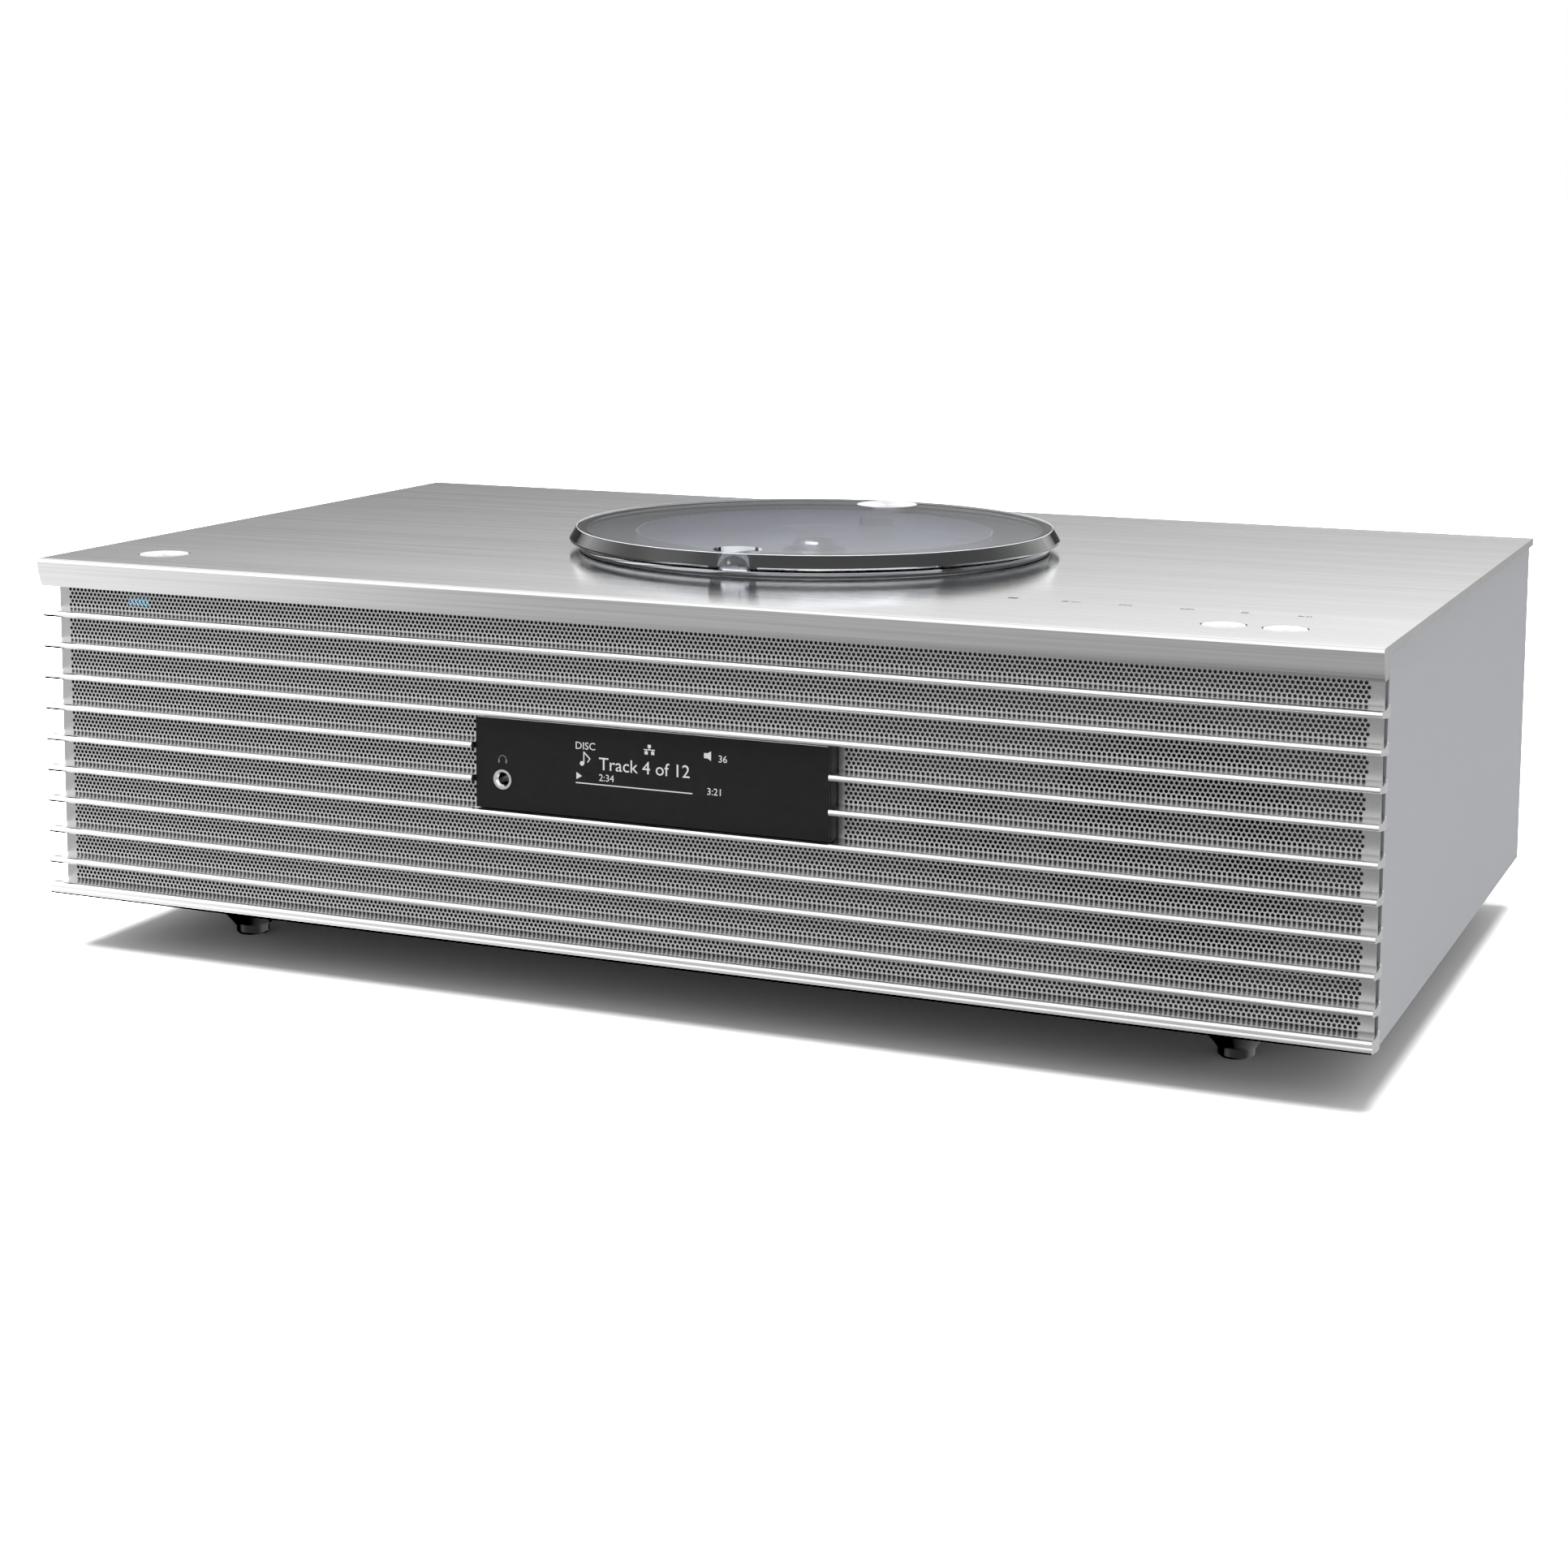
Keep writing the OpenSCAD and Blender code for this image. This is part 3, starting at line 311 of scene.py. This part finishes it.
def grille_band(name, low, high, field_low, field_high, first_z, rows):
    """A sheet from corner low to corner high (X and Z), punched between field_low and field_high."""
    shape = bmesh.new()
    count = int((field_high - field_low) / hole_pitch - 0.5)
    for row in range(rows):
        punched_row(shape, field_low + (row % 2) * hole_pitch / 2, count, first_z + row * row_pitch)
    bmesh.ops.remove_doubles(shape, verts=shape.verts, dist=hole_r / 20)
    outline = [edge for edge in shape.edges if edge.is_boundary and not is_hole_edge(edge)]
    corners = [shape.verts.new((x, z, 0)) for x, z in
               ((low[0], low[1]), (high[0], low[1]), (high[0], high[1]), (low[0], high[1]))]
    outline += [shape.edges.new((corners[i], corners[i - 1])) for i in range(4)]
    bmesh.ops.triangle_fill(shape, use_beauty=True, edges=outline)
    bmesh.ops.rotate(shape, verts=shape.verts, cent=(0, 0, 0), matrix=Matrix.Rotation(math.pi / 2, 3, "X"))
    bmesh.ops.translate(shape, verts=shape.verts, vec=(0, grille_low.y, 0))
    bmesh.ops.recalc_face_normals(shape, faces=shape.faces)
    if sum(face.normal.y for face in shape.faces) < 0:
        bmesh.ops.reverse_faces(shape, faces=shape.faces)
    bmesh.ops.solidify(shape, geom=shape.faces[:], thickness=-sheet_t)
    bmesh.ops.recalc_face_normals(shape, faces=shape.faces)
    return add_piece(name, shape, grille_finish, "case", ["front_grille"])


def is_hole_edge(edge):
    """A hole's edge is shorter than any edge of a cell's outline."""
    return edge.calc_length() < 2.02 * hole_r * math.sin(math.pi / HOLE_SIDES)


def add_piece(name, shape, material, body, replaced=(), smooth=False):
    mesh = bpy.data.meshes.new(name)
    shape.to_mesh(mesh)
    shape.free()
    mesh.materials.append(material)
    if smooth:
        mesh.shade_smooth()
    piece = bpy.data.objects.new(name, mesh)
    bpy.context.scene.collection.objects.link(piece)
    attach(piece, body)
    if replaced:
        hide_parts(*replaced)
    return piece


for bay in range(FIN_COUNT):
    fin_low, fin_high = fin_boxes[bay]
    bottom = (fin_low.z + fin_high.z) / 2 if bay < FIN_COUNT - 1 else grille_low.z
    top = (fin_boxes[bay - 1][0].z + fin_boxes[bay - 1][1].z) / 2 if bay else grille_high.z
    first_z = fin_high.z + first_row
    last_z = fin_boxes[bay - 1][0].z if bay else first_z + 5.6 * row_pitch
    rows = int((last_z - first_z) / row_pitch) + 1
    if top < display_high.z + 2 * MM and bottom > display_low.z - 2 * MM:
        inner = display_high.x + 0.25 * MM
        grille_band(f"grille_band_{bay + 1}_left", (grille_low.x, bottom), (-inner, top),
                    -field_x, -inner - margin_by_display, first_z, rows)
        grille_band(f"grille_band_{bay + 1}_right", (inner, bottom), (grille_high.x, top),
                    inner + margin_by_display, field_x, first_z, rows)
    else:
        grille_band(f"grille_band_{bay + 1}", (grille_low.x, bottom), (grille_high.x, top),
                    -field_x, field_x, first_z, rows)


# ---- Baffle, housing, rear and base ----
# The baffle, the housing, the chambers and the port are moulded in black plastic with a fine
# grain. The rear, the base and the socket plate are steel sheet, powder coated black.
def moulded_black(place):
    grain = place.noise(1400, 2)
    return {
        "Base Color": grain.mix(grey(0.012), grey(0.022)),
        "Roughness": 0.45 + 0.1 * grain,
        "Normal": grain.bump(0.2, 0.0001),
    }


finish("black_plastic", moulded_black, [
    "front_baffle", "display_housing", "pickup_sled", "left_speaker_chamber",
    "right_speaker_chamber", "bass_port", "mains_inlet"])


def powder_coat(place):
    grain = place.noise(1100, 3, 0.6)
    return {
        "Base Color": grain.mix(grey(0.014), grey(0.030)),
        "Roughness": 0.5 + 0.12 * grain,
        "Normal": grain.bump(0.45, 0.0002),
    }


finish("black_sheet", powder_coat, ["bottom_panel", "rear_panel", "socket_plate"])


# ---- Display ----
# A thin black glass bonded to the housing's front, with the lit characters of the panel behind
# it. A thin grey strip along its top edge is a painted highlight, where that edge would catch the light.
glass_low, glass_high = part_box("display_glass")
finish("black_glass", lambda place: {
    "Base Color": place.noise(300, 2).mix(grey(0.003), grey(0.005)),
    "Roughness": 0.03 + 0.02 * place.noise(40, 2),
    "Specular IOR Level": 0.2,
}, ["display_glass"])
readout_finish = finish("readout", lambda place: {
    "Base Color": grey(0.02),
    "Roughness": 0.4,
    "Emission Color": place.noise(900, 1).mix((0.50, 0.52, 0.54, 1), (0.62, 0.64, 0.66, 1)),
    "Emission Strength": 1.0,
})
MARK_T = 0.05 * MM


def lettering(shape, words, size, x, z):
    curve = bpy.data.curves.new(words, "FONT")
    curve.body = words
    curve.size = size
    curve.extrude = MARK_T / 2
    curve.resolution_u = 3
    text = bpy.data.objects.new(words, curve)
    bpy.context.scene.collection.objects.link(text)
    mesh = bpy.data.meshes.new_from_object(text.evaluated_get(bpy.context.evaluated_depsgraph_get()))
    mesh.transform(Matrix.Translation((x, 0, z)) @ Matrix.Rotation(math.pi / 2, 4, "X"))
    shape.from_mesh(mesh)
    bpy.data.objects.remove(text)
    bpy.data.curves.remove(curve)
    bpy.data.meshes.remove(mesh)


def bar(shape, low_x, low_z, high_x, high_z):
    made = bmesh.ops.create_cube(shape, size=1)["verts"]
    bmesh.ops.scale(shape, verts=made, vec=(high_x - low_x, MARK_T, high_z - low_z))
    bmesh.ops.translate(shape, verts=made, vec=((low_x + high_x) / 2, 0, (low_z + high_z) / 2))
    return made


def wedge(shape, centre_x, centre_z, radius, turn, sides=3):
    made = bmesh.ops.create_cone(shape, cap_ends=True, segments=sides, radius1=radius, radius2=radius,
                                 depth=MARK_T)["verts"]
    bmesh.ops.rotate(shape, verts=made, cent=(0, 0, 0), matrix=Matrix.Rotation(turn, 3, "Z"))
    bmesh.ops.rotate(shape, verts=made, cent=(0, 0, 0), matrix=Matrix.Rotation(math.pi / 2, 3, "X"))
    bmesh.ops.translate(shape, verts=made, vec=(centre_x, 0, centre_z))
    return made


def stroke(shape, start, end, width):
    """A straight line of the given width from start to end, each an X and a Z."""
    span = Vector(end) - Vector(start)
    middle = (Vector(end) + Vector(start)) / 2
    made = bar(shape, -span.length / 2, -width / 2, span.length / 2, width / 2)
    turn = Matrix.Rotation(-math.atan2(span.y, span.x), 3, "Y")
    bmesh.ops.rotate(shape, verts=made, cent=(0, 0, 0), matrix=turn)
    bmesh.ops.translate(shape, verts=made, vec=(middle.x, 0, middle.y))


def note_symbol(shape, x, z):
    """A quaver, with the middle of its head at x and z."""
    line = 0.35 * MM
    stem_x = x + 0.65 * MM
    flag_x = x + 2.8 * MM
    wedge(shape, x, z, 0.75 * MM, 0, sides=12)
    stroke(shape, (stem_x, z), (stem_x, z + 3.8 * MM), line)
    stroke(shape, (x + 0.6 * MM, z + 3.7 * MM), (flag_x, z + 1.6 * MM), 0.4 * MM)
    stroke(shape, (flag_x, z + 1.7 * MM), (x + 1.9 * MM, z + 0.5 * MM), line)


def speaker_symbol(shape, x, z):
    """A magnet and a cone, with the magnet's left edge at x and its middle at z."""
    half_height = 0.8 * MM
    bar(shape, x, z - half_height, x + 1.1 * MM, z + half_height)
    wedge(shape, x + 1.5 * MM, z, 1.7 * MM, math.pi / 2)


def network_symbol(shape, x, z):
    """One box above a level line at z and two below it, centred on x."""
    box_w, box_h = 1.1 * MM, 1.0 * MM
    line = 0.3 * MM
    bar(shape, x - 1.9 * MM, z - line / 2, x + 1.9 * MM, z + line / 2)
    bar(shape, x - line / 2, z, x + line / 2, z + 0.7 * MM)
    bar(shape, x - box_w / 2, z + 0.6 * MM, x + box_w / 2, z + 0.6 * MM + box_h)
    for box_x in (x - 1.6 * MM, x + 0.6 * MM):
        bar(shape, box_x, z - 1.5 * MM, box_x + box_w, z - 0.5 * MM)
        bar(shape, box_x + 0.4 * MM, z - 0.6 * MM, box_x + 0.7 * MM, z - 0.1 * MM)


readout = bmesh.new()
progress_z = 74.9 * MM
lettering(readout, "DISC", size=3.3 * MM, x=-25.2 * MM, z=85.8 * MM)
lettering(readout, "36", size=3.1 * MM, x=23.6 * MM, z=85.6 * MM)
lettering(readout, "Track 4 of 12", size=5.7 * MM, x=-17 * MM, z=79.8 * MM)
lettering(readout, "2:34", size=3.1 * MM, x=-17 * MM, z=76.3 * MM)
lettering(readout, "3:21", size=3.1 * MM, x=19.8 * MM, z=75.2 * MM)
bar(readout, -25 * MM, progress_z, 15 * MM, progress_z + 0.35 * MM)
wedge(readout, -24.1 * MM, 77.3 * MM, radius=1.3 * MM, turn=-math.pi / 2)
note_symbol(readout, x=-22.8 * MM, z=81.3 * MM)
speaker_symbol(readout, x=18.9 * MM, z=87.3 * MM)
network_symbol(readout, x=0.4 * MM, z=87.5 * MM)
bmesh.ops.translate(readout, verts=readout.verts, vec=(0, glass_low.y - MARK_T / 2, 0))
add_piece("display_readout", readout, readout_finish, "case")

# The grey strip on the glass's top edge is a painted highlight.
edge_highlight_finish = finish("painted_glass_edge_highlight", lambda place: {
    "Base Color": place.noise(500, 2).mix(grey(0.30), grey(0.40)),
    "Metallic": 0.6,
    "Roughness": 0.25,
})
edge_highlight = bmesh.new()
edge_end = 0.6 * MM
edge_w = 0.2 * MM
bar(edge_highlight, glass_low.x + edge_end, glass_high.z - edge_w, glass_high.x - edge_end, glass_high.z)
bmesh.ops.translate(edge_highlight, verts=edge_highlight.verts, vec=(0, glass_low.y - MARK_T / 2, 0))
add_piece("display_top_edge_highlight", edge_highlight, edge_highlight_finish, "case")


# ---- Headphone socket ----
# A plated brass sleeve pressed into the glass, for a 3.5 mm plug. A small grey headset is
# printed on the glass above it.
finish("plated_metal", lambda place: {
    "Base Color": grey(0.70),
    "Metallic": 1.0,
    "Roughness": 0.12 + 0.08 * place.noise(900, 2),
}, ["headphone_jack"])
print_finish = finish("printed_grey", lambda place: {
    "Base Color": place.noise(800, 2).mix(grey(0.05), grey(0.08)),
    "Roughness": 0.6,
})
jack_low, jack_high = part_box("headphone_jack")
jack_x, jack_z = (jack_low.x + jack_high.x) / 2, (jack_low.z + jack_high.z) / 2
headset = bmesh.new()
headset_r = 1.3 * MM
headset_steps = 8
headset_up = 6.4 * MM
cup_h = 1.1 * MM
for step in range(headset_steps):
    bend = [math.pi * (step + end) / headset_steps for end in (0, 1)]
    stroke(headset, *((headset_r * math.cos(angle), headset_r * math.sin(angle)) for angle in bend), 0.2 * MM)
for side in (-1, 1):
    stroke(headset, (side * headset_r, 0), (side * headset_r, -cup_h), 0.5 * MM)
bmesh.ops.translate(headset, verts=headset.verts,
                    vec=(jack_x, glass_low.y - MARK_T / 2, jack_z + headset_up))
add_piece("headphone_symbol", headset, print_finish, "case")


# ---- Touch symbols ----
# Fine grey marks printed on the plate over the sensor board: source, timer, previous, next,
# stop and play.
board_low, board_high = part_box("touch_sensor_board")
key_count = 6
board_margin = 8 * MM
key_pitch = (board_high.x - board_low.x - 2 * board_margin) / (key_count - 1)
symbols = bmesh.new()


def key_x(index, shift=0.0):
    return board_low.x + board_margin + index * key_pitch + shift * MM


for line in (-0.9, 0, 0.9):
    stroke(symbols, (key_x(0, -1.5), line * MM), (key_x(0, 1.5), line * MM), 0.3 * MM)
wedge(symbols, key_x(1, -1.4), 0, 1.1 * MM, 0, 16)
stroke(symbols, (key_x(1, 0.6), 0), (key_x(1, 3.4), 0), 0.5 * MM)
for index, way in ((2, -1), (3, 1)):
    for shift in (-0.9, 0.9):
        wedge(symbols, key_x(index, shift), 0, 1.1 * MM, -way * math.pi / 2)
    stroke(symbols, (key_x(index, way * 2.2), -1 * MM), (key_x(index, way * 2.2), 1 * MM), 0.4 * MM)
bar(symbols, key_x(4, -1), -1 * MM, key_x(4, 1), 1 * MM)
wedge(symbols, key_x(5, -1.3), 0, 1.2 * MM, -math.pi / 2)
for shift in (0.7, 1.6):
    stroke(symbols, (key_x(5, shift), -1 * MM), (key_x(5, shift), 1 * MM), 0.4 * MM)
bmesh.ops.rotate(symbols, verts=symbols.verts, cent=(0, 0, 0), matrix=Matrix.Rotation(-math.pi / 2, 3, "X"))
plate_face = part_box("disc_well")[1].z
bmesh.ops.translate(symbols, verts=symbols.verts,
                    vec=(0, (board_low.y + board_high.y) / 2, plate_face + MARK_T / 2))
add_piece("touch_symbols", symbols, print_finish, "case")


# ---- Status light ----
# A clear plastic light guide with a blue lamp behind it, clipped to the back of the grille.
# It shines through ten of the grille's holes and is dark round them.
led_low, led_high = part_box("status_led")


def light_guide(place):
    across = place.axis("X")
    height = place.axis("Z")
    centre_x = (led_low.x + led_high.x) / 2
    left, right = centre_x - 4 * MM, centre_x + 4 * MM
    bottom, top = 119.5 * MM, 122 * MM
    fade = 0.1 * MM
    in_rows = height.between(bottom - fade, bottom) * (1 - height.between(top, top + fade))
    in_width = across.between(left - fade, left) * (1 - across.between(right, right + fade))
    return {
        "Base Color": (0.02, 0.05, 0.08, 1),
        "Roughness": 0.3,
        "Emission Color": (in_rows * in_width).mix((0, 0, 0, 1), (0.13, 0.60, 1.0, 1)),
        "Emission Strength": 1.3,
    }


finish("blue_light_guide", light_guide, ["status_led"])


# ---- Push buttons and pivot cap ----
# Solid aluminium, faced on a lathe, so that fine rings show round the middle of each. The
# buttons slide in the plate's bores, and the cap is bonded over the lid's pivot.
def spun_metal(node_name):
    low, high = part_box(node_name)
    centre = (low + high) / 2

    def recipe(place):
        flat = place.moved(centre=(centre.x, centre.y, 0), scale=(1, 1, 0))
        radius = flat.node("ShaderNodeVectorMath", {"operation": "LENGTH"}, {0: flat}, "Value")
        rings = flat.node("ShaderNodeTexNoise", {"noise_dimensions": "1D"}, {
            "W": radius, "Scale": 9000, "Detail": 2}, 0)
        return {
            "Base Color": rings.mix(grey(0.66), grey(0.80)),
            "Metallic": 1.0,
            "Roughness": 0.22 + 0.1 * rings,
            "Anisotropic": 0.75,
            "Normal": rings.bump(0.2, 0.0001),
        }
    return recipe


for name in ("power_button", "volume_down_button", "volume_up_button", "lid_pivot_cap"):
    finish(f"spun_{name}", spun_metal(name), [name])


# ---- Lid ----
# A turned and polished disc of clear smoke-grey acrylic on a black rubber ring. A thin light grey
# ring on the top edge of its rim is a painted highlight, where the light would catch that edge.
finish("smoked_acrylic", lambda place: {
    "Base Color": (0.62, 0.645, 0.68, 1),
    "Roughness": 0.015 + 0.01 * place.noise(60, 2),
    "IOR": 1.49,
    "Transmission Weight": 1.0,
}, ["lid"])
lid_low, lid_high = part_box("lid")
rim_inset = 2.45 * MM
rim_line = 0.16 * MM
rim_r = (lid_high.x - lid_low.x) / 2 - rim_inset
# A thin light grey ring on the rim's top edge: a painted highlight.
rim_highlight_finish = finish("painted_rim_highlight", lambda place: {
    "Base Color": place.noise(300, 2).mix((0.55, 0.58, 0.60, 1), (0.70, 0.73, 0.75, 1)),
    "Metallic": 0.3,
    "Roughness": 0.12,
})
rim = bmesh.new()
profile = bmesh.ops.create_circle(rim, segments=6, radius=rim_line / 2)["verts"]
bmesh.ops.rotate(rim, verts=profile, cent=(0, 0, 0), matrix=Matrix.Rotation(math.pi / 2, 3, "X"))
bmesh.ops.translate(rim, verts=profile, vec=(rim_r, 0, 0))
bmesh.ops.spin(rim, geom=profile + rim.edges[:], cent=(0, 0, 0), axis=(0, 0, 1), angle=math.tau,
               steps=180, use_merge=True)
bmesh.ops.remove_doubles(rim, verts=rim.verts, dist=rim_line / 20)
bmesh.ops.recalc_face_normals(rim, faces=rim.faces)
lid_middle = (lid_low + lid_high) / 2
bmesh.ops.translate(rim, verts=rim.verts, vec=(lid_middle.x, lid_middle.y, lid_high.z - rim_line / 2))
add_piece("lid_rim_highlight", rim, rim_highlight_finish, "lid_body", smooth=True)
finish("black_rubber", lambda place: {
    "Base Color": place.noise(700, 2).mix(grey(0.010), grey(0.018)),
    "Roughness": 0.6,
}, ["lid_base_ring", "damper_bushes"])


# ---- Disc well and spindle ----
# A turned cup in a satin, slightly lavender metallic finish, round a bright turned hub. Below
# it are zinc-plated motors on a steel chassis, a moulded gear and a brass pinion.
def well_coat(place):
    sparkle = place.noise(2200, 1)
    return {
        "Base Color": sparkle.mix((0.56, 0.55, 0.62, 1), (0.74, 0.73, 0.79, 1)),
        "Metallic": 0.85,
        "Roughness": 0.34 + 0.12 * sparkle,
        "Normal": sparkle.bump(0.35, 0.0002),
    }


finish("well_metal", well_coat, ["disc_well"])
finish("turned_metal", lambda place: {
    "Base Color": place.moved(scale=(1, 1, 4000)).noise(1, 2).mix(grey(0.58), grey(0.74)),
    "Metallic": 1.0,
    "Roughness": 0.2,
}, ["spindle_hub", "lid_pivot_post", "guide_rods"])
finish("zinc_plate", lambda place: {
    "Base Color": place.noise(300, 3).mix((0.42, 0.43, 0.45, 1), (0.56, 0.57, 0.58, 1)),
    "Metallic": 1.0,
    "Roughness": 0.35 + 0.1 * place.noise(500, 2),
}, ["spindle_motor", "mechanism_chassis", "sled_motor", "network_socket", "input_sockets"])
finish("gear_plastic", lambda place: {
    "Base Color": place.noise(400, 2).mix((0.78, 0.76, 0.68, 1), (0.86, 0.84, 0.77, 1)),
    "Roughness": 0.4,
}, ["sled_gear"])
finish("brass", lambda place: {
    "Base Color": place.noise(500, 2).mix((0.66, 0.50, 0.24, 1), (0.76, 0.61, 0.33, 1)),
    "Metallic": 1.0,
    "Roughness": 0.25 + 0.1 * place.noise(900, 2),
}, ["sled_pinion", "antenna_connector"])


# ---- Speakers and electronics inside ----
# Pressed paper cones, green glass-fibre boards and an extruded black heat sink, all screwed to
# the base or the baffle and hidden by the closed case.
finish("speaker_cone", lambda place: {
    "Base Color": place.noise(500, 3).mix(grey(0.02), grey(0.045)),
    "Roughness": 0.6,
}, ["left_woofer", "right_woofer", "tweeters", "subwoofer"])
finish("circuit_board", lambda place: {
    "Base Color": place.moved(scale=(700, 90, 700)).noise(1, 1).between(0.48, 0.56).mix(
        (0.015, 0.09, 0.045, 1), (0.03, 0.17, 0.08, 1)),
    "Roughness": 0.3,
}, ["touch_sensor_board", "volume_switch_board", "power_switch_board", "main_board", "power_supply"])
finish("anodised_sink", lambda place: {
    "Base Color": place.moved(scale=(60, 2000, 2000)).noise(1, 2).mix(grey(0.05), grey(0.09)),
    "Metallic": 1.0,
    "Roughness": 0.35,
}, ["heat_sink"])


# ---- Screws ----
# Black zinc-plated steel screws with a domed head and a square recess, which hold the rear
# panel and the base.
screw_r = 2.6 * MM
screw_h = 1.2 * MM
screw_finish = finish("black_zinc", lambda place: {
    "Base Color": place.noise(900, 2).mix(grey(0.03), grey(0.06)),
    "Metallic": 1.0,
    "Roughness": 0.3 + 0.1 * place.noise(1500, 2),
})


def screw_head(shape, place, facing):
    """A domed head on the point place, facing along the unit vector facing, with its recess."""
    start = len(shape.verts)
    bmesh.ops.create_cone(shape, cap_ends=True, segments=20, radius1=screw_r, radius2=screw_r * 0.72,
                          depth=screw_h)
    shape.verts.ensure_lookup_table()
    made = shape.verts[start:]
    faces = [face for corner in made for face in corner.link_faces]
    top = max(faces, key=lambda face: face.calc_center_median().z)
    bmesh.ops.inset_region(shape, faces=[top], thickness=screw_r * 0.35, depth=0)
    recess = bmesh.ops.extrude_discrete_faces(shape, faces=[top])["faces"]
    bmesh.ops.translate(shape, verts=recess[0].verts, vec=(0, 0, -screw_h * 0.6))
    shape.verts.ensure_lookup_table()
    made = shape.verts[start:]
    bmesh.ops.translate(shape, verts=made, vec=(0, 0, screw_h / 2))
    turn = Vector((0, 0, 1)).rotation_difference(Vector(facing)).to_matrix()
    bmesh.ops.rotate(shape, verts=made, cent=(0, 0, 0), matrix=turn)
    bmesh.ops.translate(shape, verts=made, vec=place)


rear_low, rear_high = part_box("rear_panel")
base_low, base_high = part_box("bottom_panel")
screw_inset = 6 * MM
end_inset = 14 * MM
screws = bmesh.new()
for share in (0.0, 0.33, 0.67, 1.0):
    x = rear_low.x + end_inset + share * (rear_high.x - rear_low.x - 2 * end_inset)
    for z in (rear_low.z + screw_inset, rear_high.z - screw_inset):
        screw_head(screws, (x, rear_high.y, z), (0, 1, 0))
    for y in (base_low.y + 2 * screw_inset, base_high.y - screw_inset):
        screw_head(screws, (x, y, base_low.z), (0, 0, -1))
bmesh.ops.recalc_face_normals(screws, faces=screws.faces)
add_piece("case_screws", screws, screw_finish, "case")


# ---- Feet ----
# Smooth black moulded cones with a small rubber tip, each screwed to the base from below.
# They carry the case clear of the loudspeaker that fires down.
finish("foot_black", lambda place: {
    "Base Color": place.noise(200, 2).mix(grey(0.008), grey(0.014)),
    "Roughness": 0.22 + 0.06 * place.noise(300, 2),
}, ["front_left_foot", "front_right_foot", "rear_left_foot", "rear_right_foot"])


bpy.context.view_layer.update()
